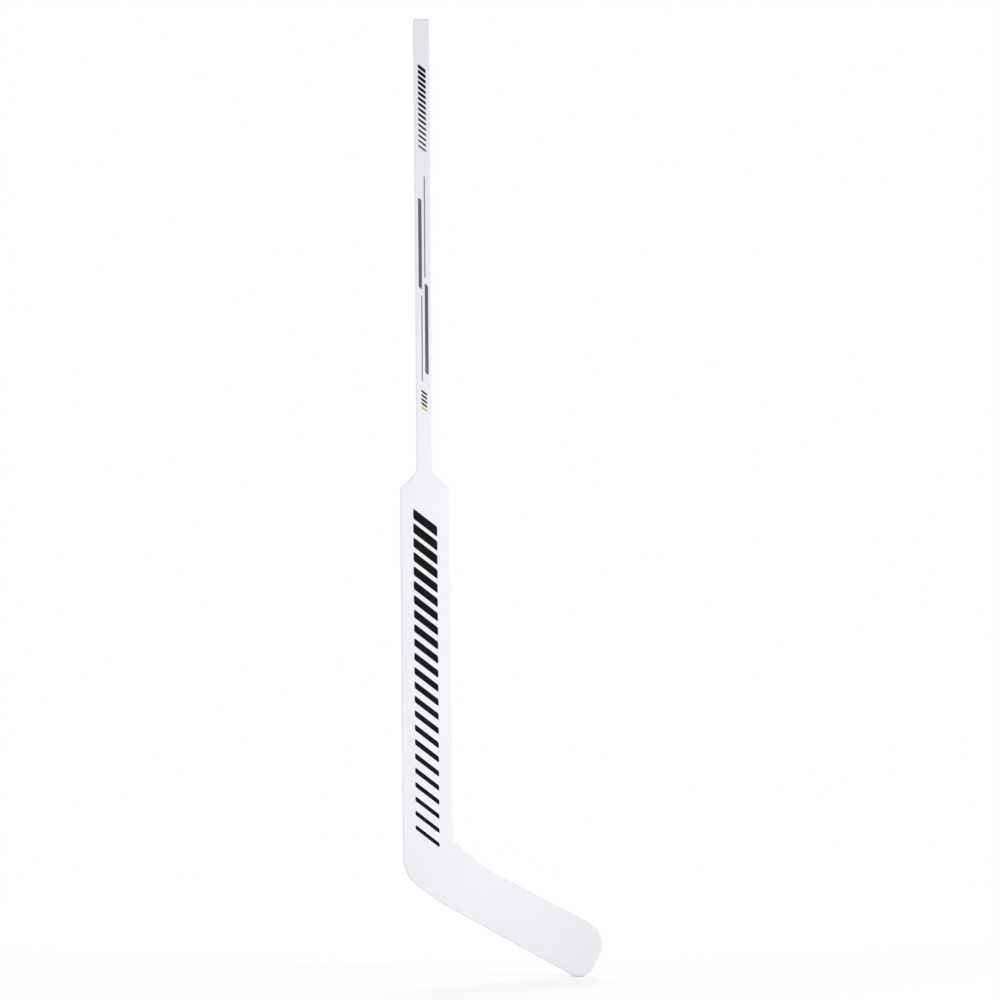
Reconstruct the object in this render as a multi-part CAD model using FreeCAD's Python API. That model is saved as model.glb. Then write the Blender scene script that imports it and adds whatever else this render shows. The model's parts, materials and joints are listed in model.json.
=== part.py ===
import FreeCAD, Part
import math
import os
from FreeCAD import Vector

# Ice hockey goalie stick: laminated shaft, foam-core paddle and curved blade.
# The shaft stands along +Z with the butt on top, the toe of the blade points to +X, and -Y is the
# front face, towards which the blade curves. The origin is in the middle of the shaft where the hand
# holds it, just above the paddle. "Across" runs along X from the shaft's centre line, "along" runs up
# the shaft from the heel corner, "run" follows the sole from the heel corner towards the toe, and
# "rise" stands square on the sole. The heel corner is where the back edge would meet the sole if the
# heel were not rounded. Lengths are in millimetres and angles in degrees.

# Shaft
SHAFT_LENGTH = 1450.0            # heel corner to butt
SHAFT_WIDTH = 28.0
STICK_THICKNESS = 21.0           # front face to back face, over shaft and paddle
BUTT_CORNER_RADIUS = 4.5
GRIP_ABOVE_NECK = 61.0           # neck corner to the middle of the hand

# Paddle
PADDLE_LENGTH = 662.0            # heel corner to shoulder corner
PADDLE_WIDTH = 84.0
SHOULDER_RISE = 27.0             # shoulder corner to neck corner
SHOULDER_RADIUS = 7.0
NECK_RADIUS = 15.0
THROAT_HEIGHT = 68.5             # heel corner to throat corner
THROAT_RADIUS = 39.0

# Blade
LIE_ANGLE = 119.0                # between shaft and sole
RIGHT_ANGLE = 90.0
BLADE_LENGTH = 350.0             # heel corner to lower toe corner
TOP_START_RUN = 111.5            # heel corner to where the throat slope meets the top edge
TOP_START_RISE = 87.5
TOP_START_RADIUS = 131.0
TOE_HEIGHT = 92.0                # sole to upper toe corner
TOE_RAKE = 6.0                   # how far the upper toe corner stands back from the lower one
TOE_TOP_RADIUS = 37.0
TOE_BOTTOM_RADIUS = 28.0
TOE_THICKNESS = 12.5
CURVE_DEPTH = 18.0               # how far the front face has come forward at the toe
HEEL_RISE = 13.3                 # heel corner to the start of the heel slope, up the back edge
HEEL_RADIUS = 60.0
ROCKER_RUN = 75.3                # heel corner to the end of the heel slope, along the sole
ROCKER_RADIUS = 268.0

# Rounding of the edges round both faces
EDGE_RADIUS = 3.2
EDGE_LIMIT_SHARE = 0.4           # most of a wall that the rounding may take

# Layers and joints
SKIN_THICKNESS = 0.8             # glass cloth on each face
FACE_PLY_THICKNESS = 4.2
SHAFT_SCARF_ABOVE_NECK = 33.0    # neck corner to where shaft glass and paddle skin meet
SHOULDER_BLOCK_LENGTH = 62.0     # shoulder corner down to the foot of the shoulder block
RAIL_WIDTH = 6.0
HEEL_BLOCK_HEIGHT = 120.0        # heel corner to the top of the heel block
BLADE_SCARF_ABOVE_BLOCK = 40.0   # top of the heel block to where paddle skin and blade skin meet
TENON_END_HEIGHT = 50.0          # heel corner to the end of the shaft's tenon, in the heel block
BLADE_JOINT_RUN = 130.0          # heel corner to the joint of heel block and blade core
TONGUE_LENGTH = 56.0             # half in the heel block, half in the blade core
TONGUE_WIDTH = 38.0
TONGUE_THICKNESS = 6.0
TOP_STRIP_HEIGHT = 6.0
SOLE_STRIP_HEIGHT = 6.0
SOLE_STRIP_START_RUN = 70.0
TOE_BLOCK_LENGTH = 46.0

# Cutting bodies reach this far past what they cut
OVERRUN = 40.0
# A face whose normal leans this much towards Y belongs to the front or the back
FACING_SHARE = 0.5

HALF_SHAFT = SHAFT_WIDTH / 2
HALF_PADDLE = PADDLE_WIDTH / 2
HALF_THICKNESS = STICK_THICKNESS / 2
NECK_HEIGHT = PADDLE_LENGTH + SHOULDER_RISE
GRIP_HEIGHT = NECK_HEIGHT + GRIP_ABOVE_NECK
SHAFT_SCARF_HEIGHT = NECK_HEIGHT + SHAFT_SCARF_ABOVE_NECK
BLADE_SCARF_HEIGHT = HEEL_BLOCK_HEIGHT + BLADE_SCARF_ABOVE_BLOCK
SHOULDER_FOOT_HEIGHT = PADDLE_LENGTH - SHOULDER_BLOCK_LENGTH
TOE_JOINT_RUN = BLADE_LENGTH - TOE_BLOCK_LENGTH
CURVE_RUN = BLADE_LENGTH - BLADE_JOINT_RUN
SOLE_FALL = math.radians(LIE_ANGLE - RIGHT_ANGLE)
SOLE_DIRECTION = Vector(math.cos(SOLE_FALL), 0, -math.sin(SOLE_FALL))
RISE_DIRECTION = Vector(math.sin(SOLE_FALL), 0, math.cos(SOLE_FALL))
DEPTH_DIRECTION = Vector(0, 1, 0)

# Limits that lie outside the stick on every side
FAR_LEFT = -HALF_PADDLE - OVERRUN
FAR_RIGHT = BLADE_LENGTH + OVERRUN
FAR_LOW = -BLADE_LENGTH - OVERRUN
FAR_HIGH = SHAFT_LENGTH + OVERRUN
HEEL_SIDE = -1
TOE_SIDE = 1


def on_shaft(across, along):
    """Point in the stick's middle plane, beside the shaft's centre line."""
    return Vector(across, 0, along - GRIP_HEIGHT)


def on_blade(run, rise):
    """Point in the stick's middle plane, measured along and above the sole."""
    heel_corner = on_shaft(-HALF_PADDLE, 0)
    return heel_corner + SOLE_DIRECTION * run + RISE_DIRECTION * rise


def top_rise(run):
    """How high the blade's top edge stands above the sole."""
    slope = (TOE_HEIGHT - TOP_START_RISE) / (BLADE_LENGTH - TOE_RAKE - TOP_START_RUN)
    return TOP_START_RISE + slope * (run - TOP_START_RUN)


def corner_arc(before, corner, after, radius):
    """Arc of a radius that rounds the corner between two straight sides."""
    to_before = (before - corner).normalize()
    to_after = (after - corner).normalize()
    half_angle = to_before.getAngle(to_after) / 2
    reach = radius / math.tan(half_angle)
    inwards = (to_before + to_after).normalize()
    centre = corner + inwards * (radius / math.sin(half_angle))
    return Part.Arc(corner + to_before * reach, centre - inwards * radius, corner + to_after * reach)


def rounded_wire(corners):
    """Closed wire through (point, radius) corners, every corner rounded by its arc."""
    points = [point for point, radius in corners]
    previous_points = points[-1:] + points[:-1]
    next_points = points[1:] + points[:1]
    arcs = [corner_arc(before, corner, after, radius)
            for before, (corner, radius), after in zip(previous_points, corners, next_points)]
    edges = []
    for arc, next_arc in zip(arcs, arcs[1:] + arcs[:1]):
        edges += [arc.toShape(), Part.makeLine(arc.EndPoint, next_arc.StartPoint)]
    return Part.Wire(edges)


def through_stick(wire):
    """Body that reaches through the stick, front to back, inside a wire in the middle plane."""
    depth = STICK_THICKNESS + CURVE_DEPTH + OVERRUN
    body = Part.Face(wire).extrude(DEPTH_DIRECTION * (2 * depth))
    return body.translated(-DEPTH_DIRECTION * depth)


def region(*points):
    """Body through the stick inside straight lines from point to point."""
    return through_stick(Part.makePolygon([*points, points[0]]))


def shaft_region(left, right, low, high):
    """Body through the stick between two distances across and two heights along the shaft."""
    return region(on_shaft(left, low), on_shaft(right, low), on_shaft(right, high), on_shaft(left, high))


def blade_region(run_start, run_end, rise_low, rise_high):
    """Body through the stick between two runs along the sole and two rises above it."""
    return region(on_blade(run_start, rise_low), on_blade(run_end, rise_low),
                  on_blade(run_end, rise_high), on_blade(run_start, rise_high))


def outline():
    """Outline of the whole stick, seen from the front, clockwise from the butt."""
    return rounded_wire([
        (on_shaft(-HALF_SHAFT, SHAFT_LENGTH), BUTT_CORNER_RADIUS),
        (on_shaft(HALF_SHAFT, SHAFT_LENGTH), BUTT_CORNER_RADIUS),
        (on_shaft(HALF_SHAFT, NECK_HEIGHT), NECK_RADIUS),
        (on_shaft(HALF_PADDLE, PADDLE_LENGTH), SHOULDER_RADIUS),
        (on_shaft(HALF_PADDLE, THROAT_HEIGHT), THROAT_RADIUS),
        (on_blade(TOP_START_RUN, TOP_START_RISE), TOP_START_RADIUS),
        (on_blade(BLADE_LENGTH - TOE_RAKE, TOE_HEIGHT), TOE_TOP_RADIUS),
        (on_blade(BLADE_LENGTH, 0), TOE_BOTTOM_RADIUS),
        (on_blade(ROCKER_RUN, 0), ROCKER_RADIUS),
        (on_shaft(-HALF_PADDLE, HEEL_RISE), HEEL_RADIUS),
        (on_shaft(-HALF_PADDLE, PADDLE_LENGTH), SHOULDER_RADIUS),
        (on_shaft(-HALF_SHAFT, NECK_HEIGHT), NECK_RADIUS),
    ])


def arc_radius(depth):
    """Radius of the arc that bends by a depth over the curved part of the blade."""
    return (CURVE_RUN ** 2 + depth ** 2) / (2 * depth)


def face_line(level, centre_level):
    """Edges of a face seen along the rise: straight at a level in Y, then an arc about a centre."""
    radius = level - centre_level

    def place(run, y):
        return on_blade(run, -OVERRUN) + DEPTH_DIRECTION * y

    def on_arc(run):
        return place(run, centre_level + math.sqrt(radius ** 2 - (run - BLADE_JOINT_RUN) ** 2))

    straight = Part.makeLine(place(-FAR_HIGH, level), place(BLADE_JOINT_RUN, level))
    arc = Part.Arc(on_arc(BLADE_JOINT_RUN), on_arc((BLADE_JOINT_RUN + FAR_RIGHT) / 2), on_arc(FAR_RIGHT))
    return [straight, arc.toShape()]


def front_line(inset):
    """The front face, moved into the stick by an inset."""
    return face_line(inset - HALF_THICKNESS, -HALF_THICKNESS - arc_radius(CURVE_DEPTH))


def back_line(inset):
    """The back face, moved into the stick; it bends more, so the blade thins towards the toe."""
    depth = CURVE_DEPTH + STICK_THICKNESS - TOE_THICKNESS
    return face_line(HALF_THICKNESS - inset, HALF_THICKNESS - arc_radius(depth))


def layer(first, second):
    """Body between two face lines, as high as the whole stick."""
    start = Part.makeLine(first[0].firstVertex().Point, second[0].firstVertex().Point)
    end = Part.makeLine(first[1].lastVertex().Point, second[1].lastVertex().Point)
    wire = Part.Wire(Part.__sortEdges__([*first, end, *second, start]))
    return Part.Face(wire).extrude(RISE_DIRECTION * (FAR_HIGH + PADDLE_WIDTH))


def core_layer():
    """Space between the two skins."""
    return layer(front_line(SKIN_THICKNESS), back_line(SKIN_THICKNESS))


def rim_edges(body):
    """Edges where the front and back faces meet the side walls."""
    def faces_out(face):
        u_start, u_end, v_start, v_end = face.ParameterRange
        return abs(face.normalAt((u_start + u_end) / 2, (v_start + v_end) / 2).y) > FACING_SHARE

    edges = [edge for face in body.Faces if faces_out(face) for edge in face.Edges]
    return [edge for edge in edges if sum(edge.isSame(other) for other in edges) == 1]


def whole_stick():
    """The stick as one rounded body, from which every piece is cut."""
    body = through_stick(outline()).common(layer(front_line(0), back_line(0)))
    wall = min(TOE_THICKNESS, 2 * BUTT_CORNER_RADIUS)
    return body.makeFillet(min(EDGE_RADIUS, EDGE_LIMIT_SHARE * wall), rim_edges(body))


def stem(foot):
    """Space of the shaft from a foot inside the paddle up to the butt, full width above the neck."""
    return region(
        on_shaft(-HALF_SHAFT, foot), on_shaft(HALF_SHAFT, foot),
        on_shaft(HALF_SHAFT, NECK_HEIGHT), on_shaft(HALF_PADDLE, NECK_HEIGHT),
        on_shaft(HALF_PADDLE, FAR_HIGH), on_shaft(-HALF_PADDLE, FAR_HIGH),
        on_shaft(-HALF_PADDLE, NECK_HEIGHT), on_shaft(-HALF_SHAFT, NECK_HEIGHT))


def centre_lamination():
    """Layer of the shaft's middle ply, which is also the thickness of its tenon."""
    inset = SKIN_THICKNESS + FACE_PLY_THICKNESS
    return layer(front_line(inset), back_line(inset))


def shaft_core_ply(stick):
    """Light middle ply; its lower end is the tenon that goes into the heel block."""
    return stick.common(stem(TENON_END_HEIGHT)).common(centre_lamination())


def shaft_front_ply(stick):
    """Hard front ply, standing on the heel block."""
    lamination = layer(front_line(SKIN_THICKNESS), front_line(SKIN_THICKNESS + FACE_PLY_THICKNESS))
    return stick.common(stem(HEEL_BLOCK_HEIGHT)).common(lamination)


def shaft_back_ply(stick):
    """Hard back ply, standing on the heel block."""
    lamination = layer(back_line(SKIN_THICKNESS + FACE_PLY_THICKNESS), back_line(SKIN_THICKNESS))
    return stick.common(stem(HEEL_BLOCK_HEIGHT)).common(lamination)


def between(side, near, far, low, high):
    """Region on one side of the shaft, between two distances from its centre line."""
    return shaft_region(*sorted((side * near, side * far)), low, high)


def shoulder_block(stick, side):
    """Block beside the shaft that carries the sloping shoulder up to the neck."""
    space = between(side, HALF_SHAFT, HALF_PADDLE + OVERRUN, SHOULDER_FOOT_HEIGHT, NECK_HEIGHT)
    return stick.common(space).common(core_layer())


def rail(stick, side):
    """Edge strip of the paddle, from the heel block to the shoulder block."""
    near = HALF_PADDLE - RAIL_WIDTH
    space = between(side, near, HALF_PADDLE + OVERRUN, HEEL_BLOCK_HEIGHT, SHOULDER_FOOT_HEIGHT)
    return stick.common(space).common(core_layer())


def paddle_foam(stick, side):
    """Foam between the shaft and the rail."""
    far = HALF_PADDLE - RAIL_WIDTH
    space = between(side, HALF_SHAFT, far, HEEL_BLOCK_HEIGHT, SHOULDER_FOOT_HEIGHT)
    return stick.common(space).common(core_layer())


def sole_strip_space():
    """Space of the wear strip along the sole."""
    return blade_region(SOLE_STRIP_START_RUN, TOE_JOINT_RUN, -OVERRUN, SOLE_STRIP_HEIGHT)


def heel_tongue():
    """Flat tongue across the joint of heel block and blade core, halfway up the core."""
    core_top = top_rise(BLADE_JOINT_RUN) - TOP_STRIP_HEIGHT
    low = (SOLE_STRIP_HEIGHT + core_top - TONGUE_WIDTH) / 2
    tongue = Part.makePolygon([
        on_blade(BLADE_JOINT_RUN + run, low + rise)
        for run, rise in ((-TONGUE_LENGTH / 2, 0), (TONGUE_LENGTH / 2, 0),
                          (TONGUE_LENGTH / 2, TONGUE_WIDTH), (-TONGUE_LENGTH / 2, TONGUE_WIDTH),
                          (-TONGUE_LENGTH / 2, 0))])
    body = Part.Face(tongue).extrude(DEPTH_DIRECTION * TONGUE_THICKNESS)
    return body.translated(-DEPTH_DIRECTION * (TONGUE_THICKNESS / 2))


def heel_block(stick):
    """Hard block under the paddle, with a mortise for the shaft and a groove for the tongue."""
    below_paddle = shaft_region(FAR_LEFT, FAR_RIGHT, FAR_LOW, HEEL_BLOCK_HEIGHT)
    behind_blade = blade_region(-FAR_HIGH, BLADE_JOINT_RUN, -OVERRUN, FAR_HIGH)
    mortise = stem(TENON_END_HEIGHT).common(centre_lamination())
    block = stick.common(below_paddle).common(behind_blade).common(core_layer())
    return block.cut([sole_strip_space(), mortise, heel_tongue()])


def blade_foam_core(stick):
    """Curved foam between the strips of the blade, grooved for the tongue."""
    space = region(on_blade(BLADE_JOINT_RUN, SOLE_STRIP_HEIGHT), on_blade(TOE_JOINT_RUN, SOLE_STRIP_HEIGHT),
                   on_blade(TOE_JOINT_RUN, top_rise(TOE_JOINT_RUN) - TOP_STRIP_HEIGHT),
                   on_blade(BLADE_JOINT_RUN, top_rise(BLADE_JOINT_RUN) - TOP_STRIP_HEIGHT))
    return stick.common(space).common(core_layer()).cut(heel_tongue())


def blade_top_strip(stick):
    """Edge strip along the top of the blade."""
    space = region(on_blade(BLADE_JOINT_RUN, top_rise(BLADE_JOINT_RUN) - TOP_STRIP_HEIGHT),
                   on_blade(TOE_JOINT_RUN, top_rise(TOE_JOINT_RUN) - TOP_STRIP_HEIGHT),
                   on_blade(TOE_JOINT_RUN, TOE_HEIGHT + OVERRUN),
                   on_blade(BLADE_JOINT_RUN, TOE_HEIGHT + OVERRUN))
    return stick.common(space).common(core_layer())


def blade_sole_strip(stick):
    """Wear strip along the sole, under heel block and blade core."""
    return stick.common(sole_strip_space()).common(core_layer())


def blade_toe_block(stick):
    """Solid toe that closes the blade core and the strips."""
    space = blade_region(TOE_JOINT_RUN, FAR_RIGHT, -OVERRUN, TOE_HEIGHT + OVERRUN)
    return stick.common(space).common(core_layer())


def front_skin(stick, low, high):
    """Glass cloth on the front face between two heights along the shaft."""
    space = shaft_region(FAR_LEFT, FAR_RIGHT, low, high)
    return stick.common(space).common(layer(front_line(-OVERRUN), front_line(SKIN_THICKNESS)))


def back_skin(stick, low, high):
    """Glass cloth on the back face between two heights along the shaft."""
    space = shaft_region(FAR_LEFT, FAR_RIGHT, low, high)
    return stick.common(space).common(layer(back_line(SKIN_THICKNESS), back_line(-OVERRUN)))


def stick_pieces():
    """Every piece of the stick by its name."""
    stick = whole_stick()
    pieces = {
        "shaft_core_ply": shaft_core_ply(stick),
        "shaft_front_ply": shaft_front_ply(stick),
        "shaft_back_ply": shaft_back_ply(stick),
        "heel_block": heel_block(stick),
        "heel_tongue": heel_tongue(),
        "blade_foam_core": blade_foam_core(stick),
        "blade_top_strip": blade_top_strip(stick),
        "blade_sole_strip": blade_sole_strip(stick),
        "blade_toe_block": blade_toe_block(stick),
    }
    for name, side in (("heel_side", HEEL_SIDE), ("toe_side", TOE_SIDE)):
        pieces[name + "_shoulder"] = shoulder_block(stick, side)
        pieces[name + "_rail"] = rail(stick, side)
        pieces[name + "_foam"] = paddle_foam(stick, side)
    for face, skin in (("front", front_skin), ("back", back_skin)):
        pieces["shaft_" + face + "_glass"] = skin(stick, SHAFT_SCARF_HEIGHT, FAR_HIGH)
        pieces["paddle_" + face + "_skin"] = skin(stick, BLADE_SCARF_HEIGHT, SHAFT_SCARF_HEIGHT)
        pieces["blade_" + face + "_skin"] = skin(stick, FAR_LOW, BLADE_SCARF_HEIGHT)
    return pieces


os.makedirs("parts", exist_ok=True)
for node, piece in stick_pieces().items():
    piece.exportStep(os.path.join("parts", node + ".step"))
    print(f"{node}: {len(piece.Solids)} solid, {piece.Volume:.0f} mm3, valid {piece.isValid()}")
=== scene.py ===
# %% [markdown]
# # A goalie stick, painted white
#
# A stick like this is glued up from strips of wood and blocks of foam, faced with glass cloth and
# sprayed white all over. The packed model already holds every strip and block at its real size. This
# lesson adds what the eye sees: the skin of paint that runs round the whole stick without a joint,
# the printed films on its faces, a floor, some light and a camera.
#
# The packed model is loaded first, because every later place is measured from it.

# %% Load the packed stick
import bmesh
import bpy
import json
import math
from collections import namedtuple
from mathutils import Matrix, Vector

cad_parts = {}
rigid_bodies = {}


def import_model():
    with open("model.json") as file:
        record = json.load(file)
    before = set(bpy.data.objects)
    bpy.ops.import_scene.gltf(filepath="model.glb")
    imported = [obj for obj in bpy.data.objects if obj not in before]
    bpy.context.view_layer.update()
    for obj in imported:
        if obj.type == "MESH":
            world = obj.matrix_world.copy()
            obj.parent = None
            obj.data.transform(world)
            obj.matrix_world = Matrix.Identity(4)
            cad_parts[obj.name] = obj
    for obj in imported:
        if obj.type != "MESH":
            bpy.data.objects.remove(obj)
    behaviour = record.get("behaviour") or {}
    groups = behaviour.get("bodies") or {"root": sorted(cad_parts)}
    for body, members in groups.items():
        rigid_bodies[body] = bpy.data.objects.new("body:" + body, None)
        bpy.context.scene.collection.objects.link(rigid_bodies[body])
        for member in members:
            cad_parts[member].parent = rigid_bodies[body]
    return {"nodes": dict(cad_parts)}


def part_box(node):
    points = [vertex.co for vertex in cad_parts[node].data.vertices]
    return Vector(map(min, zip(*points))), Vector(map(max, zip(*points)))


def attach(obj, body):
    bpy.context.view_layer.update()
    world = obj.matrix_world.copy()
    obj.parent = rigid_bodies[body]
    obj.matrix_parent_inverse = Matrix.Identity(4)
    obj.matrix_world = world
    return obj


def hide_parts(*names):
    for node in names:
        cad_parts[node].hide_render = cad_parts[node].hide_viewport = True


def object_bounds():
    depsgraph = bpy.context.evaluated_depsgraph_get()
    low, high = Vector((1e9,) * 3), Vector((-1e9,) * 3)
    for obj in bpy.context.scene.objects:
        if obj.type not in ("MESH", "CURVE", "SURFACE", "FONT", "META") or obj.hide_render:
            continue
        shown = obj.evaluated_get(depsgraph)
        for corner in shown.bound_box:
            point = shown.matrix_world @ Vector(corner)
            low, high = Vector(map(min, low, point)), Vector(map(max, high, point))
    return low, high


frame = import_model()
cad_low, cad_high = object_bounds()
print("pieces in the frame:", len(frame["nodes"]), "box from", tuple(cad_low), "to", tuple(cad_high))

# %% [markdown]
# ## Camera
#
# The stick is seen square from the front by a long lens, which keeps its edges nearly parallel. A
# lens is easier to choose the other way round: decide how far away the camera stands and how wide a
# piece of the stick's plane it should show, and the focal length follows from the sensor's width.
# The camera is turned by not quite half a degree about its own axis, so the shaft leans a little to
# the left.

# %% Camera
CAMERA_DISTANCE = 10.0
SHOWN_WIDTH = 1.680
SHOWN_CENTRE = Vector((0.1258, 0.0, -0.1087))
LEVEL_VIEW = math.radians(90.0)
CAMERA_ROLL = math.radians(0.45)

camera_data = bpy.data.cameras.new("camera")
camera_data.lens = camera_data.sensor_width * CAMERA_DISTANCE / SHOWN_WIDTH
camera = bpy.data.objects.new("camera", camera_data)
camera.location = SHOWN_CENTRE - Vector((0.0, CAMERA_DISTANCE, 0.0))
camera.rotation_euler = (LEVEL_VIEW, CAMERA_ROLL, 0.0)
bpy.context.scene.collection.objects.link(camera)
bpy.context.scene.camera = camera
print(f"camera: {camera_data.lens:.1f} mm lens, {CAMERA_DISTANCE} m away")

# %% [markdown]
# ## Sizes of the stick
#
# Seen from the front, the stick is twelve straight sides with a rounded corner between each two. Its
# widths and levels are read from the boxes of the packed pieces, so that they can't drift away from
# the solids. The other sizes, in metres, are the stick's own. Most of them start at the heel corner,
# where the back edge would meet the sole if the heel weren't rounded.

# %% Sizes of the stick
PADDLE_LENGTH = 0.662        # heel corner to shoulder corner
SHOULDER_RISE = 0.027        # shoulder corner to neck corner
THROAT_HEIGHT = 0.0685       # heel corner to throat corner
HEEL_RISE = 0.0133           # heel corner to the start of the heel slope, up the back edge
ROCKER_RUN = 0.0753          # heel corner to the end of the heel slope, along the sole
BLADE_LENGTH = 0.350         # heel corner to lower toe corner
TOP_START_RUN = 0.1115       # heel corner to the end of the throat slope, along the sole
TOP_START_RISE = 0.0875      # sole to the end of the throat slope
TOE_HEIGHT = 0.092           # sole to upper toe corner
TOE_RAKE = 0.006             # how far the upper toe corner stands back from the lower one
SOLE_FALL = math.radians(29.0)

half_shaft = -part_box("heel_side_foam")[1].x
half_paddle = -cad_low.x
front_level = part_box("paddle_front_skin")[0].y
back_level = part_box("paddle_back_skin")[1].y
neck_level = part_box("heel_side_shoulder")[1].z
neck_height = PADDLE_LENGTH + SHOULDER_RISE
heel_level = neck_level - neck_height
butt_height = cad_high.z - heel_level
print(f"shaft {2 * half_shaft:.3f} m wide, paddle {2 * half_paddle:.3f} m wide, {butt_height:.3f} m long")

# %% [markdown]
# ## Two ways to name a point
#
# A place on the shaft is easiest to give across from its centre line and along from the heel corner. A
# place on the blade is easiest to give as a run along the sole and a rise above it. One small function
# for each keeps the list of corners, and all that follows, free of trigonometry.

# %% Places on shaft and blade
SOLE = Vector((math.cos(SOLE_FALL), 0.0, -math.sin(SOLE_FALL)))
RISE = Vector((math.sin(SOLE_FALL), 0.0, math.cos(SOLE_FALL)))


def on_shaft(across, along):
    """Point in the stick's middle plane, beside the shaft's centre line."""
    return Vector((across, 0.0, heel_level + along))


def on_blade(run, rise):
    """Point in the stick's middle plane, measured along and above the sole."""
    return on_shaft(-half_paddle, 0.0) + SOLE * run + RISE * rise


print("heel corner at", tuple(on_blade(0.0, 0.0)), "lower toe corner at", tuple(on_blade(BLADE_LENGTH, 0.0)))

# %% [markdown]
# ## Corners of the outline
#
# Twelve points, each with the radius of its rounding, hold the whole outline. The list starts at the
# butt and goes clockwise: down the right side, over the throat and along the blade to the toe, back
# along the sole and up the back edge. The arcs themselves are left to the next step.

# %% Corners of the outline
BUTT_CORNER_RADIUS = 0.0045
NECK_RADIUS = 0.015
SHOULDER_RADIUS = 0.007
THROAT_RADIUS = 0.039
TOP_START_RADIUS = 0.131
TOE_TOP_RADIUS = 0.037
TOE_BOTTOM_RADIUS = 0.028
ROCKER_RADIUS = 0.268
HEEL_RADIUS = 0.060

OUTLINE = [
    (on_shaft(-half_shaft, butt_height), BUTT_CORNER_RADIUS),
    (on_shaft(half_shaft, butt_height), BUTT_CORNER_RADIUS),
    (on_shaft(half_shaft, neck_height), NECK_RADIUS),
    (on_shaft(half_paddle, PADDLE_LENGTH), SHOULDER_RADIUS),
    (on_shaft(half_paddle, THROAT_HEIGHT), THROAT_RADIUS),
    (on_blade(TOP_START_RUN, TOP_START_RISE), TOP_START_RADIUS),
    (on_blade(BLADE_LENGTH - TOE_RAKE, TOE_HEIGHT), TOE_TOP_RADIUS),
    (on_blade(BLADE_LENGTH, 0.0), TOE_BOTTOM_RADIUS),
    (on_blade(ROCKER_RUN, 0.0), ROCKER_RADIUS),
    (on_shaft(-half_paddle, HEEL_RISE), HEEL_RADIUS),
    (on_shaft(-half_paddle, PADDLE_LENGTH), SHOULDER_RADIUS),
    (on_shaft(-half_shaft, neck_height), NECK_RADIUS),
]
print("outline:", len(OUTLINE), "corners")

# %% [markdown]
# ## Round the corners with spin
#
# A rounded corner is an arc that touches both sides. One vertex at the start of the arc is spun about
# the arc's centre, and spin leaves a chain of edges behind it. Small arcs get a step every few
# degrees, and large ones a step every few millimetres, so every curve looks equally smooth. Straight
# edges then join the arcs, and the closed loop is filled with one face.

# %% Outline from spun corners
STEP_ANGLE = math.radians(6.0)
STEP_LENGTH = 0.004


def round_corner(bm, before, corner, after, radius):
    """Spins a vertex through the arc that rounds a corner; returns the arc's two ends."""
    to_before = (before - corner).normalized()
    to_after = (after - corner).normalized()
    half_angle = to_before.angle(to_after) / 2
    turn = math.pi - 2 * half_angle
    centre = corner + (to_before + to_after).normalized() * (radius / math.sin(half_angle))
    first = bm.verts.new(corner + to_before * (radius / math.tan(half_angle)))
    steps = math.ceil(max(turn / STEP_ANGLE, turn * radius / STEP_LENGTH))
    spun = bmesh.ops.spin(bm, geom=[first], cent=centre, axis=to_after.cross(to_before),
                          angle=turn, steps=steps)
    return first, spun["geom_last"][0]


shell = bmesh.new()
points = [point for point, _ in OUTLINE]
arcs = [round_corner(shell, points[i - 1], point, points[(i + 1) % len(points)], radius)
        for i, (point, radius) in enumerate(OUTLINE)]
starts, ends = zip(*arcs)
for i, start in enumerate(starts):
    shell.edges.new((ends[i - 1], start))
bmesh.ops.contextual_create(shell, geom=shell.edges[:])
print("outline:", len(shell.verts), "vertices,", len(shell.faces), "face")

# %% [markdown]
# ## Curve of the blade
#
# Shaft and paddle are flat, but the blade of a real stick is bent towards the front and thins to the
# toe. A bend modifier would also shorten the outline that the front shows. So each face gets a level
# for every run along the sole instead: it leaves the flat part without a kink and follows an arc, and
# the back face bends more than the front one.

# %% Levels of the two faces
CURVE_START = 0.130          # heel corner to where the blade leaves the flat, along the sole
CURVE_DEPTH = 0.018          # how far the front face has come forward at the toe
TOE_THICKNESS = 0.0125


def bend(run, depth):
    """How far a face has come forward at a run along the sole, if it ends a depth forward at the toe."""
    reach = BLADE_LENGTH - CURVE_START
    radius = (reach ** 2 + depth ** 2) / (2 * depth)
    past = max(0.0, run - CURVE_START)
    return radius - math.sqrt(radius ** 2 - past ** 2)


def front_at(run):
    """Level of the front face at a run along the sole."""
    return front_level - bend(run, CURVE_DEPTH)


def back_at(run):
    """Level of the back face at a run along the sole."""
    return back_level - bend(run, CURVE_DEPTH + back_level - front_level - TOE_THICKNESS)


def run_of(point):
    """Run along the sole of any point on the stick."""
    return (point - on_blade(0.0, 0.0)).dot(SOLE)


print(f"front face at {front_at(0.0):.4f} m, and at {front_at(BLADE_LENGTH):.4f} m at the toe")

# %% [markdown]
# ## Thickness
#
# The flat outline is extruded from the front face to the back face. A face can bend only where it has
# edges, so planes across the blade cut it into narrow strips. Shaft and paddle stay straight, but wider
# strips there keep their long faces from falling into needles when the mesh is turned into triangles.
# Then every vertex moves to the level of its face.

# %% Extruded and bent body
BLADE_STRIPS = 32
PADDLE_STRIPS = 12
SHOULDER_STRIPS = 1
SHAFT_STRIPS = 16
SNAP = 0.0004                # a cut this close to a vertex goes through it
CM3 = 1e6                    # cubic centimetres in a cubic metre


def cut_into_strips(bm, start, end, strips):
    """Cuts every face between two points by planes across the way from one to the other."""
    for i in range(strips):
        everything = bm.verts[:] + bm.edges[:] + bm.faces[:]
        bmesh.ops.bisect_plane(bm, geom=everything, dist=SNAP, plane_co=start.lerp(end, i / strips),
                               plane_no=end - start)


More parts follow.
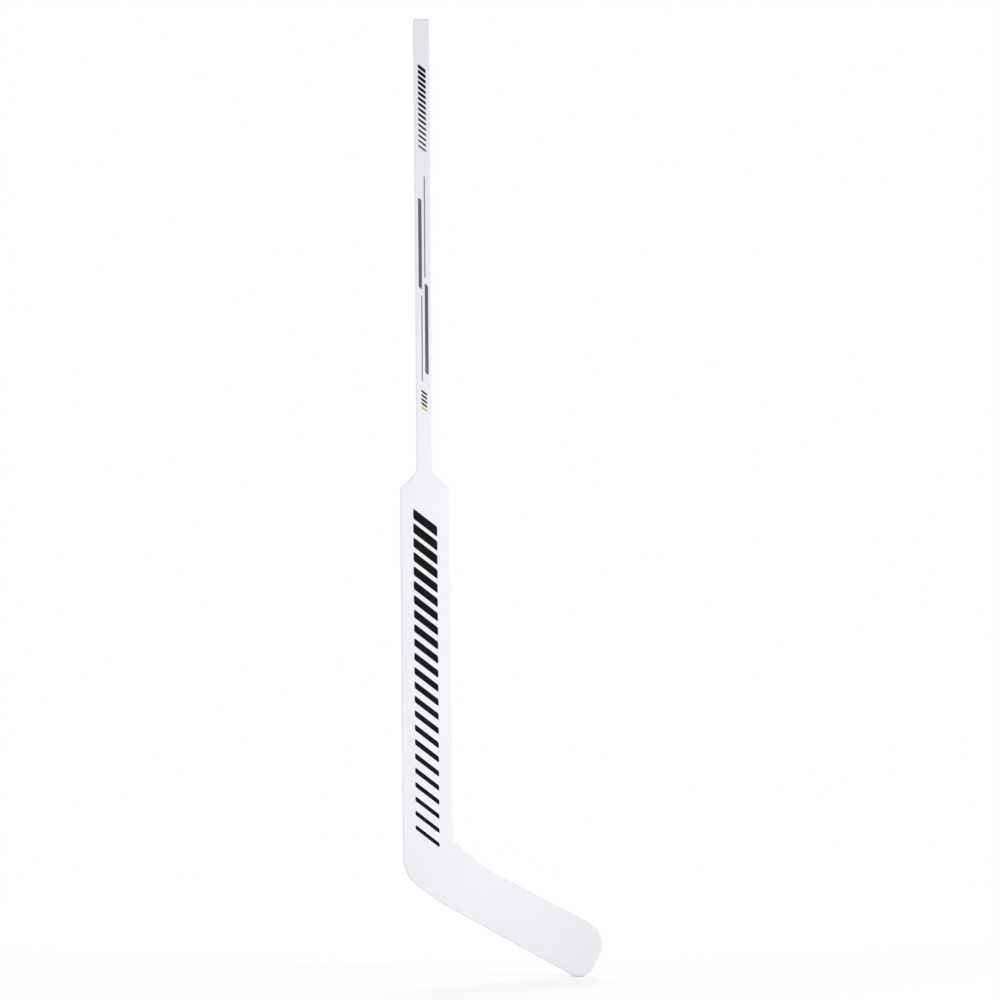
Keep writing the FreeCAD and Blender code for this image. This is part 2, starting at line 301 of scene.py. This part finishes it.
extruded = bmesh.ops.extrude_face_region(shell, geom=shell.faces[:])
back_verts = [part for part in extruded["geom"] if isinstance(part, bmesh.types.BMVert)]
bmesh.ops.translate(shell, verts=back_verts, vec=(0.0, back_level - front_level, 0.0))
bmesh.ops.translate(shell, verts=shell.verts, vec=(0.0, front_level, 0.0))
throat, shoulder, neck, butt = [on_shaft(0.0, height)
                                for height in (THROAT_HEIGHT, PADDLE_LENGTH, neck_height, butt_height)]
cut_into_strips(shell, on_blade(CURVE_START, 0.0), on_blade(BLADE_LENGTH, 0.0), BLADE_STRIPS)
cut_into_strips(shell, throat, shoulder, PADDLE_STRIPS)
cut_into_strips(shell, shoulder, neck, SHOULDER_STRIPS)
cut_into_strips(shell, neck, butt, SHAFT_STRIPS)
for vert in shell.verts:
    face_at = front_at if vert.co.y < 0 else back_at
    vert.co.y = face_at(run_of(vert.co))
bmesh.ops.recalc_face_normals(shell, faces=shell.faces)
print(f"body: {len(shell.faces)} faces, {shell.calc_volume() * CM3:.0f} cm3")

# %% [markdown]
# ## Rounded edges
#
# Paint doesn't stay on a sharp edge, so the stick is sanded round before it is sprayed. Bevel does the
# same to every edge that is nearly square, and a profile of 0.5 makes it a true quarter round. The
# finish needs to know where these edges are, so each vertex keeps a value: 0 on the broad faces, 1 on
# the side walls, and in between on the rounding.

# %% Rounded edges
EDGE_RADIUS = 0.0032
EDGE_SEGMENTS = 6
SQUARE_ENOUGH = math.radians(45.0)
ROUNDING = "rounding"

rim = [edge for edge in shell.edges if edge.calc_face_angle() > SQUARE_ENOUGH]
bmesh.ops.bevel(shell, geom=rim, offset=EDGE_RADIUS, offset_type="OFFSET", affect="EDGES",
                segments=EDGE_SEGMENTS, profile=0.5, material=-1, clamp_overlap=False)
rounding_layer = shell.verts.layers.float.new(ROUNDING)
for vert in shell.verts:
    run = run_of(vert.co)
    depth = min(vert.co.y - front_at(run), back_at(run) - vert.co.y)
    vert[rounding_layer] = min(1.0, max(0.0, depth / EDGE_RADIUS))
print(f"shell: {len(shell.faces)} faces, {len(rim)} rim edges rounded, {shell.calc_volume() * CM3:.0f} cm3")

# %% [markdown]
# ## One shell for all outer pieces
#
# Under the paint, seventeen pieces reach the surface. Painting each of them would leave a hairline at
# every joint, and the real paint has none, so the shell stands for all of them. Smooth shading alone
# would bulge the flat faces beside the rounded edges. Weighted normals let the largest face at each
# vertex decide, which keeps flat faces flat.

# %% Painted shell
LARGEST_FACE_DECIDES = 100
INNER_NODES = ("heel_side_foam", "toe_side_foam", "blade_foam_core", "heel_tongue")


def make_piece(name, bm):
    """Turns a bmesh into a smooth piece of the stick, attached to the stick's root body."""
    mesh = bpy.data.meshes.new(name)
    bm.to_mesh(mesh)
    bm.free()
    mesh.shade_smooth()
    piece = bpy.data.objects.new(name, mesh)
    bpy.context.scene.collection.objects.link(piece)
    even_shading = piece.modifiers.new("even_shading", "WEIGHTED_NORMAL")
    even_shading.weight = LARGEST_FACE_DECIDES
    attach(piece, "root")
    return piece


outer_nodes = [node for node in frame["nodes"] if node not in INNER_NODES]
painted_shell = make_piece("painted_shell", shell)
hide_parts(*outer_nodes)
print("shell stands for", len(outer_nodes), "packed pieces")

# %% [markdown]
# ## Shader maths as Python
#
# A procedural finish is arithmetic on the place of each point. Wiring that up node by node hides the
# idea, so this small class wraps one socket: plus, minus and times on it add Math nodes, and one
# method adds any other node. Below, a finish then reads like the formula that it is.

# %% Shader maths
class Signal:
    """One output socket of a node tree; sums with it become Math nodes."""

    def __init__(self, tree, socket=None):
        self.tree = tree
        self.socket = socket

    def node(self, kind, settings=None, sockets=None, output=0):
        """Adds a node: first its settings, then a value or a link for each socket."""
        added = self.tree.nodes.new(kind)
        for name, value in (settings or {}).items():
            setattr(added, name, value)
        for name, value in (sockets or {}).items():
            if isinstance(value, Signal):
                self.tree.links.new(value.socket, added.inputs[name])
            else:
                added.inputs[name].default_value = value
        return Signal(self.tree, added.outputs[output]) if added.outputs else None

    def beside(self, output):
        """Another output of the same node."""
        return Signal(self.tree, self.socket.node.outputs[output])

    def maths(self, operation, first, second=0.0):
        return self.node("ShaderNodeMath", {"operation": operation}, {0: first, 1: second})

    def __add__(self, other):
        return self.maths("ADD", self, other)

    def __sub__(self, other):
        return self.maths("SUBTRACT", self, other)

    def __rsub__(self, other):
        return self.maths("SUBTRACT", other, self)

    def __mul__(self, other):
        return self.maths("MULTIPLY", self, other)

    __radd__ = __add__
    __rmul__ = __mul__

    def sine(self):
        return self.maths("SINE", self)

    def absolute(self):
        return self.maths("ABSOLUTE", self)

    def step(self, start, end):
        """0 below start, 1 above end, with a soft rise between them."""
        return self.node("ShaderNodeMapRange", {"interpolation_type": "SMOOTHSTEP"},
                         {"Value": self, "From Min": start, "From Max": end})

    def colour(self, low, high):
        """The colour low where the signal is 0 and high where it is 1."""
        return self.node("ShaderNodeMix", {"data_type": "RGBA"}, {"Factor": self, "A": low, "B": high},
                         output="Result")

    def turned(self, angle):
        """A place turned about the Y axis."""
        return self.node("ShaderNodeMapping", {}, {"Vector": self, "Rotation": (0.0, angle, 0.0)})

    def squeezed(self, *factors):
        """A place with its X, Y and Z times a factor each: a small one draws a pattern out that way."""
        return self.node("ShaderNodeVectorMath", {"operation": "MULTIPLY"}, {0: self, 1: factors})

    def noise(self, scale, detail=2.0):
        """Soft noise of a scale, in waves per metre, from 0 to 1."""
        return self.node("ShaderNodeTexNoise", {}, {"Vector": self, "Scale": scale, "Detail": detail})

    def split(self):
        """The X, Y and Z of a place."""
        x = self.node("ShaderNodeSeparateXYZ", {}, {"Vector": self}, output="X")
        return x, x.beside("Y"), x.beside("Z")


print("shader maths:", ", ".join(name for name in vars(Signal) if not name.startswith("__")))

# %% [markdown]
# ## How each finish starts and ends
#
# Every finish on the stick starts from the place of each point in metres and ends in one Principled
# surface. Places are read in Object coordinates, so a pattern keeps its real size and moves with the
# stick. The relief goes through a Bump node, with its heights in metres too.

# %% Start and end of a finish
def new_finish(name):
    """An empty material: returns it with the place of each point, in metres."""
    material = bpy.data.materials.new(name)
    material.use_nodes = True
    material.node_tree.nodes.clear()
    return material, Signal(material.node_tree).node("ShaderNodeTexCoord", output="Object")


def finish_with(place, relief, sockets):
    """Ends a finish: a Principled surface with these sockets and a relief whose heights are in metres."""
    bump = place.node("ShaderNodeBump", {}, {"Height": relief, "Distance": 1.0})
    surface = place.node("ShaderNodeBsdfPrincipled", {}, {**sockets, "Normal": bump})
    place.node("ShaderNodeOutputMaterial", {}, {"Surface": surface})


print("finish helpers:", new_finish.__name__, finish_with.__name__)

# %% [markdown]
# ## Glass cloth
#
# The cloth lies under the paint and under the print, and its weave shows through both, so it gets
# helpers of its own. On shaft and paddle it is laid along the shaft, and on the blade along the sole,
# so the place of a point is turned below the joint of the two. A plain weave is a chequerboard of
# threads that pass over and under each other, and the product of two sines has just that form.

# %% Weave of the cloth
WEAVE_REPEAT = 0.0042
JOINT_WIDTH = 0.00005
cloth_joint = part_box("paddle_front_skin")[0].z


def laid_along(place):
    """The place as the cloth lies: its Z runs up the shaft, or along the sole below the joint."""
    above = place.split()[2].step(cloth_joint, cloth_joint + JOINT_WIDTH)
    on_the_blade = place.turned(math.pi / 2 - SOLE_FALL)
    return place.node("ShaderNodeMix", {"data_type": "VECTOR"},
                      {"Factor": above, "A": on_the_blade, "B": place}, output="Result")


def weave(laid):
    """Height of the threads, from -1 to 1."""
    across, _, along = laid.split()
    waves = 2 * math.pi / WEAVE_REPEAT
    return (across * waves).sine() * (along * waves).sine()


print(f"cloth: a weave every {WEAVE_REPEAT} m, joint at {cloth_joint:.3f} m")

# %% [markdown]
# ## Where the paint lies
#
# Paint looks different on the broad faces, on the rounded edges and on the side walls. Three materials
# would meet in hard lines, so one material blends three masks instead, which add up to one. Along the
# walls of the shaft a fourth mask finds the two glue lines between its plies. They are plain near the
# butt and fade out towards the neck, where the wood is wider than the shaft.

# %% Masks of faces, edges, walls and glue lines
FACE_END = 0.3               # rounding value at which the broad face has ended
WALL_START = 0.7             # rounding value at which the side wall begins
GLUE_LINE_WIDTH = 0.0005
glue_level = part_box("shaft_core_ply")[1].y


def surface_masks(place):
    """Masks of the broad faces, the rounded edges and the side walls."""
    rounding = place.node("ShaderNodeAttribute", {"attribute_name": ROUNDING}, output="Fac")
    face = 1 - rounding.step(0.0, FACE_END)
    wall = rounding.step(WALL_START, 1.0)
    return face, (1 - face) * (1 - wall), wall


def glue_lines(place):
    """1 on the two glue lines of the shaft, fading to 0 between the origin and the neck."""
    _, y, z = place.split()
    away = (y.absolute() - glue_level).absolute()
    return (1 - away.step(0.0, GLUE_LINE_WIDTH)) * z.step(neck_level, 0.0)


print(f"glue lines {glue_level:.4f} m to each side of the shaft's middle plane")

# %% [markdown]
# ## White lacquer
#
# The paint is thick and glossy, but it isn't a sheet of plastic. On the broad faces the weave shows
# through, and on the side walls the grain of the wood and the glue lines. Sprayed paint dries with a
# slight orange peel, and the film is thinnest over the rounded edges, where handling dulls it first.
# Where the film is worn, a trace of the grey primer below shows. Relief alone vanishes in even light,
# so the paint is also greyed where the weave and the grain lie lower, as painted shade.

# %% White lacquer
PAINT_DULL = (0.858, 0.860, 0.898, 1.0)
PAINT_BRIGHT = (0.884, 0.886, 0.925, 1.0)
PAINT_CLOUD_SCALE = 7.0
# grey of the primer under worn paint, and also the grey of the painted shade in the hollows
PRIMER_AND_SHADE_GREY = (0.62, 0.62, 0.62, 1.0)
TEXTURE_HEIGHT = 0.00002
# how far painted shade greys the paint where the weave and the grain lie lower
HOLLOW_SHADE_GREY = 0.1
GRAIN_SCALE = 600.0
GRAIN_DRAWN_OUT = (1.0, 1.0, 0.03)
PEEL_SCALE = 260.0
PEEL_HEIGHT = 0.00003
GLUE_LINE_DEPTH = 0.00004
GLUE_LINE_GREY = 0.35
SCUFF_SCALE = 55.0
SCUFF_DETAIL = 4.0
SCUFF_START = 0.45
SCUFF_END = 0.75
SCUFF_GREY = 0.3
SCUFF_ROUGHNESS = 0.14
PAINT_ROUGHNESS = 0.30
SMEAR_SCALE = 30.0
SMEAR_ROUGHNESS = 0.06
COAT_WEIGHT = 0.25
COAT_ROUGHNESS = 0.08


def white_lacquer():
    """Gloss white paint: cloth on the broad faces, grain and glue lines on the walls, dulled edges,
    and painted shade where weave and grain lie lower.
    """
    material, place = new_finish("white_lacquer")
    face, edge, wall = surface_masks(place)
    laid = laid_along(place)
    grain = 2 * laid.squeezed(*GRAIN_DRAWN_OUT).noise(GRAIN_SCALE) - 1
    texture = face * weave(laid) + wall * grain
    glue = wall * glue_lines(place)
    scuff = edge * place.noise(SCUFF_SCALE, SCUFF_DETAIL).step(SCUFF_START, SCUFF_END)
    relief = texture * TEXTURE_HEIGHT + place.noise(PEEL_SCALE) * PEEL_HEIGHT - glue * GLUE_LINE_DEPTH
    # painted shade: more grey where weave and grain lie lower; glue lines and scuffs are real marks
    shade_glue_and_wear = HOLLOW_SHADE_GREY * (1 - texture) + GLUE_LINE_GREY * glue + SCUFF_GREY * scuff
    paint = place.noise(PAINT_CLOUD_SCALE).colour(PAINT_DULL, PAINT_BRIGHT)
    roughness = PAINT_ROUGHNESS + SMEAR_ROUGHNESS * place.noise(SMEAR_SCALE) + SCUFF_ROUGHNESS * scuff
    finish_with(place, relief, {"Base Color": shade_glue_and_wear.colour(paint, PRIMER_AND_SHADE_GREY), "Roughness": roughness,
                                "Coat Weight": COAT_WEIGHT, "Coat Roughness": COAT_ROUGHNESS})
    return material


painted_shell.data.materials.append(white_lacquer())
print("shell painted:", painted_shell.data.materials[0].name)

# %% [markdown]
# ## One printed bar
#
# The print could be painted by the shader, but then its edges would only be as sharp as a baked
# picture. A print is really a film about a tenth of a millimetre thick, so each bar is a film of that
# kind. It starts as four vertices on the front face and a face between them, and bevel rounds its
# corners as a print shop would, so that they don't lift.

# %% Slanted bar
FILM_PROUD = 0.0001          # how far a film stands above the paint
FILM_SUNK = 0.0002           # how far it reaches into the paint
BAR_CORNER_RADIUS = 0.0022
BAR_CORNER_SEGMENTS = 3
BAR_CORNER_SHARE = 0.25      # largest share of a side that one rounded corner may take
BAR_FALL = math.radians(38.0)
Bar = namedtuple("Bar", "left right foot height")    # its foot is the lower end of its left side


def add_bar(bm, bar):
    """Adds one slanted bar to the front face: two upright sides and two parallel sloping ends."""
    width = bar.right - bar.left
    right_foot = bar.foot - math.tan(BAR_FALL) * width
    places = ((bar.left, bar.foot), (bar.right, right_foot),
              (bar.right, right_foot + bar.height), (bar.left, bar.foot + bar.height))
    film_level = Vector((0.0, front_level - FILM_PROUD, 0.0))
    corners = [bm.verts.new(on_shaft(across, along) + film_level) for across, along in places]
    bmesh.ops.contextual_create(bm, geom=corners)
    radius = min(BAR_CORNER_RADIUS, BAR_CORNER_SHARE * bar.height, BAR_CORNER_SHARE * width)
    bmesh.ops.bevel(bm, geom=corners, offset=radius, affect="VERTICES", segments=BAR_CORNER_SEGMENTS,
                    profile=0.5, material=-1)


print(f"bars fall to the right by {math.degrees(BAR_FALL):.0f} degrees")

# %% [markdown]
# ## Films on both faces
#
# All bars of one colour and place make one film. Extrusion gives it its thickness, and it reaches a
# little into the paint, so that no gap opens under it. The same bars turned by half a turn about the
# shaft make the print of the back. A row of bars grows evenly from its lowest bar to its highest.

# %% Print films
def print_films(name, ink, bars):
    """Makes the print of the front face and its turned copy on the back face."""
    for side, turn in (("front", 0.0), ("back", math.pi)):
        film = bmesh.new()
        for bar in bars:
            add_bar(film, bar)
        sunk = bmesh.ops.extrude_face_region(film, geom=film.faces[:])["geom"]
        bmesh.ops.translate(film, verts=[part for part in sunk if isinstance(part, bmesh.types.BMVert)],
                            vec=(0.0, FILM_PROUD + FILM_SUNK, 0.0))
        bmesh.ops.rotate(film, verts=film.verts, cent=(0.0, 0.0, 0.0), matrix=Matrix.Rotation(turn, 3, "Z"))
        bmesh.ops.recalc_face_normals(film, faces=film.faces)
        piece = make_piece(f"{name}_{side}", film)
        piece.data.materials.append(ink)
        print(f"{piece.name}: bars {len(bars)}, faces {len(piece.data.polygons)}")


def graded_bars(half_width, foot, pitch, count, lowest, highest):
    """Bars up a face from a foot, from the height of the lowest bar to the height of the highest."""
    bars = []
    for i in range(count):
        height = lowest + (highest - lowest) * i / (count - 1)
        bars.append(Bar(-half_width, half_width, foot + i * pitch, height))
    return bars


print(f"films: {FILM_PROUD} m proud of the paint, {FILM_SUNK} m sunk into it")

# %% [markdown]
# ## Ink
#
# The ink is screen printed. It lies on the same weave as the paint, the screen leaves its own fine
# marks, and the coat is a little uneven. Its colour is a little lighter over the threads and darker
# between them, as painted sheen and shade. It is far less glossy than the paint, so it stays dark even
# where it mirrors a white studio. One function makes all three inks, each from a dark and a light tone.

# %% Inks
BLACK = ((0.004, 0.004, 0.005, 1.0), (0.008, 0.008, 0.009, 1.0))
GREY = ((0.105, 0.113, 0.122, 1.0), (0.150, 0.160, 0.170, 1.0))
LIME = ((0.47, 0.55, 0.05, 1.0), (0.53, 0.61, 0.07, 1.0))
FLOW_SCALE = 40.0
FLOW_DETAIL = 4.0
FLOW_ROUGHNESS = 0.12
# how far painted sheen and shade lighten the ink over the threads and darken it between them
THREAD_SHADE_TONE = 0.25
SCREEN_MARK_SCALE = 1800.0
SCREEN_MARK_HEIGHT = 0.000008
INK_ROUGHNESS = 0.42
INK_SPECULAR = 0.06


def printed_ink(name, dark, light):
    """Satin ink on the cloth's weave, with the slight unevenness of a screen print and painted sheen over the
    threads.
    """
    material, place = new_finish(name)
    flow = place.noise(FLOW_SCALE, FLOW_DETAIL)
    threads = weave(laid_along(place))
    # painted sheen and shade: the ink is lighter over the threads' crowns and darker between them
    tone = flow + THREAD_SHADE_TONE * threads
    relief = threads * TEXTURE_HEIGHT + place.noise(SCREEN_MARK_SCALE) * SCREEN_MARK_HEIGHT
    finish_with(place, relief, {"Base Color": tone.colour(dark, light),
                                "Roughness": INK_ROUGHNESS + FLOW_ROUGHNESS * flow,
                                "Specular IOR Level": INK_SPECULAR})
    return material


black_ink = printed_ink("black_ink", *BLACK)
grey_ink = printed_ink("grey_ink", *GREY)
lime_ink = printed_ink("lime_ink", *LIME)
print("inks:", black_ink.name, grey_ink.name, lime_ink.name)

# %% [markdown]
# ## The print
#
# The faces carry plain slanted bars: broad black ones up the paddle and a row of small ones near the
# butt, both thicker towards the top, dark grey racing stripes on the shaft, and a few small bars with a
# bright one at their foot. Each group is written as the few sizes that it follows, and a stripe is just
# a long bar.

# %% Printed bars and stripes
paddle_bars = graded_bars(half_width=0.020, foot=0.090, pitch=0.0237, count=23, lowest=0.0075, highest=0.0170)
butt_bars = graded_bars(half_width=0.0065, foot=1.236, pitch=0.0088, count=16, lowest=0.0030, highest=0.0064)
small_bars = graded_bars(half_width=0.0048, foot=0.797, pitch=0.0068, count=5, lowest=0.0036, highest=0.0036)
stripes = [
    Bar(left=-0.0078, right=-0.0022, foot=1.000, height=0.150),
    Bar(left=0.0020, right=0.0036, foot=1.016, height=0.170),
    Bar(left=0.0022, right=0.0078, foot=0.856, height=0.150),
    Bar(left=-0.0036, right=-0.0020, foot=0.842, height=0.144),
]
print_films("paddle_print", black_ink, paddle_bars)
print_films("butt_print", black_ink, butt_bars)
print_films("small_print", black_ink, small_bars[1:])
print_films("bright_print", lime_ink, small_bars[:1])
print_films("stripe_print", grey_ink, stripes)

# %% [markdown]
# ## Inside the stick
#
# Four packed pieces lie wholly inside the shell: three foam cores and the wooden tongue that joins heel
# and blade. Nobody sees them until the stick is cut open, and then they should look like foam and wood.
# Their packed shapes are right as they are, so they only get a finish.

# %% Foam
FOAM_DARK = (0.84, 0.75, 0.53, 1.0)
FOAM_LIGHT = (0.90, 0.83, 0.62, 1.0)
FOAM_CLOUD_SCALE = 25.0
FOAM_CLOUD_DETAIL = 3.0
FOAM_ROUGHNESS = 0.75
FOAM_CLOUD_ROUGHNESS = 0.15
CELL_SCALE = 900.0
CELL_DEPTH = 0.0003


def cast_foam():
    """Cream rigid foam with fine cells."""
    material, place = new_finish("cast_foam")
    cells = place.node("ShaderNodeTexVoronoi", {}, {"Vector": place, "Scale": CELL_SCALE}, output="Distance")
    cloud = place.noise(FOAM_CLOUD_SCALE, FOAM_CLOUD_DETAIL)
    finish_with(place, cells * CELL_DEPTH, {"Base Color": cloud.colour(FOAM_DARK, FOAM_LIGHT),
                                            "Roughness": FOAM_ROUGHNESS + FOAM_CLOUD_ROUGHNESS * cloud})
    return material


foam_finish = cast_foam()
print("foam finish:", foam_finish.name)

# %% [markdown]
# ## Bare wood
#
# The tongue is planed hardwood. Its fibres run along the sole, so the place of a point is turned that
# way and squeezed, which draws plain noise out into grain. Lower grain is darker and smoother.

# %% Bare wood and the inner pieces
WOOD_DARK = (0.42, 0.27, 0.14, 1.0)
WOOD_LIGHT = (0.68, 0.50, 0.31, 1.0)
FIBRE_SCALE = 600.0
FIBRE_DETAIL = 5.0
FIBRES_DRAWN_OUT = (0.06, 1.0, 1.0)
FIBRE_HEIGHT = 0.0001
WOOD_ROUGHNESS = 0.5
FIBRE_ROUGHNESS = 0.2


def planed_hardwood():
    """Pale brown hardwood with its grain along the sole."""
    material, place = new_finish("planed_hardwood")
    fibres = place.turned(-SOLE_FALL).squeezed(*FIBRES_DRAWN_OUT).noise(FIBRE_SCALE, FIBRE_DETAIL)
    finish_with(place, fibres * FIBRE_HEIGHT, {"Base Color": fibres.colour(WOOD_DARK, WOOD_LIGHT),
                                               "Roughness": WOOD_ROUGHNESS + FIBRE_ROUGHNESS * fibres})
    return material


wood_finish = planed_hardwood()
for node in INNER_NODES:
    inner_piece = frame["nodes"][node]
    inner_piece.data.materials.clear()
    inner_piece.data.materials.append(wood_finish if node == "heel_tongue" else foam_finish)
print("inner pieces dressed:", ", ".join(INNER_NODES))

# %% [markdown]
# ## Floor and background
#
# A white ground can be had by flooding it with light, but then the stick is flooded too. Here the
# ground is told apart by the ray that asks: rays from the camera and from reflections see a floor that
# adds a little white of its own to its lit surface, just enough to reach white and keep the stick's
# shadow, and further out it turns all white, so that no horizon shows. Rays that carry light see a
# plain matt floor.

# %% Floor finish
FLOOR_DULL = (0.86, 0.86, 0.87, 1.0)
FLOOR_BRIGHT = (0.88, 0.88, 0.88, 1.0)
FLOOR_CLOUD_SCALE = 1.5
FLOOR_LIFT = 0.200
FADE_START = 1.2
FADE_END = 2.4
WHITE = (1.0, 1.0, 1.0, 1.0)


def seen_directly(signal):
    """1 for rays from the camera, in reflections and through glass, 0 for rays that light the scene."""
    camera_ray = signal.node("ShaderNodeLightPath", output="Is Camera Ray")
    return camera_ray + camera_ray.beside("Is Glossy Ray") + camera_ray.beside("Is Transmission Ray")


def floor_finish():
    """Pale matt floor that fades to the white of the background away from the stick."""
    material, place = new_finish("pale_floor")
    distance = place.node("ShaderNodeVectorMath", {"operation": "LENGTH"}, {0: place}, output="Value")
    tone = place.noise(FLOOR_CLOUD_SCALE).colour(FLOOR_DULL, FLOOR_BRIGHT)
    matt = place.node("ShaderNodeBsdfDiffuse", {}, {"Color": tone})
    white = place.node("ShaderNodeEmission", {}, {"Color": WHITE, "Strength": 1.0})
    lift = place.node("ShaderNodeEmission", {}, {"Color": WHITE, "Strength": FLOOR_LIFT})
    lifted = place.node("ShaderNodeAddShader", {}, {0: matt, 1: lift})
    seen = seen_directly(place)
    near = place.node("ShaderNodeMixShader", {}, {0: seen, 1: matt, 2: lifted})
    far = seen * distance.step(FADE_START, FADE_END)
    surface = place.node("ShaderNodeMixShader", {}, {0: far, 1: near, 2: white})
    place.node("ShaderNodeOutputMaterial", {}, {"Surface": surface})
    return material


pale_floor = floor_finish()
print("floor finish:", pale_floor.name)

# %% [markdown]
# ## Floor
#
# The floor is one flat disc at the stick's lowest point, so that the toe just touches it. It is far
# wider than the stick, and its rim lies where the finish has long turned white. It belongs to the
# studio and not to the stick.

# %% Floor
FLOOR_RADIUS = 6.0
FLOOR_SIDES = 96

ground = bmesh.new()
bmesh.ops.create_circle(ground, cap_ends=True, segments=FLOOR_SIDES, radius=FLOOR_RADIUS)
bmesh.ops.translate(ground, verts=ground.verts, vec=(0.0, 0.0, cad_low.z))
floor_mesh = bpy.data.meshes.new("floor")
ground.to_mesh(floor_mesh)
ground.free()
floor_mesh.materials.append(pale_floor)
floor = bpy.data.objects.new("floor", floor_mesh)
bpy.context.scene.collection.objects.link(floor)
print(f"floor at {cad_low.z:.4f} m, {FLOOR_RADIUS} m in radius")

# %% [markdown]
# ## Surround
#
# A white stick on a white ground needs even light, or it looks grey. Most of it comes from a surround
# that is equally bright on all sides. As with the floor, the camera and reflections see plain white
# there, and only the rays that carry light see the surround's own level.

# %% Surround
SURROUND_LEVEL = 0.725

surround = bpy.data.worlds.new("surround")
surround.use_nodes = True
surround.node_tree.nodes.clear()
sky = Signal(surround.node_tree)
glow = sky.node("ShaderNodeBackground", {}, {"Color": WHITE, "Strength": SURROUND_LEVEL})
white_ground = sky.node("ShaderNodeBackground", {}, {"Color": WHITE, "Strength": 1.0})
backdrop = sky.node("ShaderNodeMixShader", {}, {0: seen_directly(sky), 1: glow, 2: white_ground})
sky.node("ShaderNodeOutputWorld", {}, {"Surface": backdrop})
bpy.context.scene.world = surround
print(f"surround at {SURROUND_LEVEL} of white")

# %% [markdown]
# ## Softboxes
#
# Even light alone would hide the stick's form. A weak, tall softbox in front makes the front face a
# little brighter than the side walls. A strip light behind a grid adds a soft beam that falls just
# right of the paddle: across the paddle it grows from left to right, and along the blade it fades
# towards the toe. A softbox at each side, the right one stronger, leaves the left edges a darker rim,
# and one behind lights the back face.

# %% Softboxes
NO_GRID = math.radians(180.0)
STRIP_GRID = math.radians(30.0)
paddle_middle = on_shaft(0.0, PADDLE_LENGTH / 2)
stick_middle = on_shaft(0.0, butt_height / 2)
beam_middle = on_shaft(across=0.085, along=0.24)


def softbox(name, place, aim, width, height, power, spread=NO_GRID):
    """A rectangular area light that shines from a place at an aim; a grid narrows its spread."""
    lamp = bpy.data.lights.new(name, "AREA")
    lamp.shape = "RECTANGLE"
    lamp.size = width
    lamp.size_y = height
    lamp.energy = power
    lamp.spread = spread
    light = bpy.data.objects.new(name, lamp)
    light.location = place
    light.visible_camera = False
    way = aim - Vector(place)
    light.rotation_euler = way.to_track_quat("-Z", "Y").to_euler()
    bpy.context.scene.collection.objects.link(light)
    print(f"{name}: {power} W, {way.length:.1f} m away")


softbox("front_strip", (0.3, -1.5, -0.5), beam_middle, width=0.12, height=1.4, power=0.155, spread=STRIP_GRID)
softbox("front_softbox", (0.2, -1.8, -0.1), stick_middle, width=0.8, height=1.6, power=1.7)
softbox("right_softbox", (2.6, -1.6, -0.3), paddle_middle, width=1.0, height=1.6, power=25.0)
softbox("left_softbox", (-2.6, -1.0, -0.3), paddle_middle, width=1.0, height=1.6, power=8.0)
softbox("back_softbox", (0.0, 3.0, 0.5), paddle_middle, width=1.2, height=1.6, power=26.0)

# %% [markdown]
# ## Colours as written
#
# Colours are shown as they are written.

# %% Colours as written
bpy.context.scene.view_settings.view_transform = "Standard"
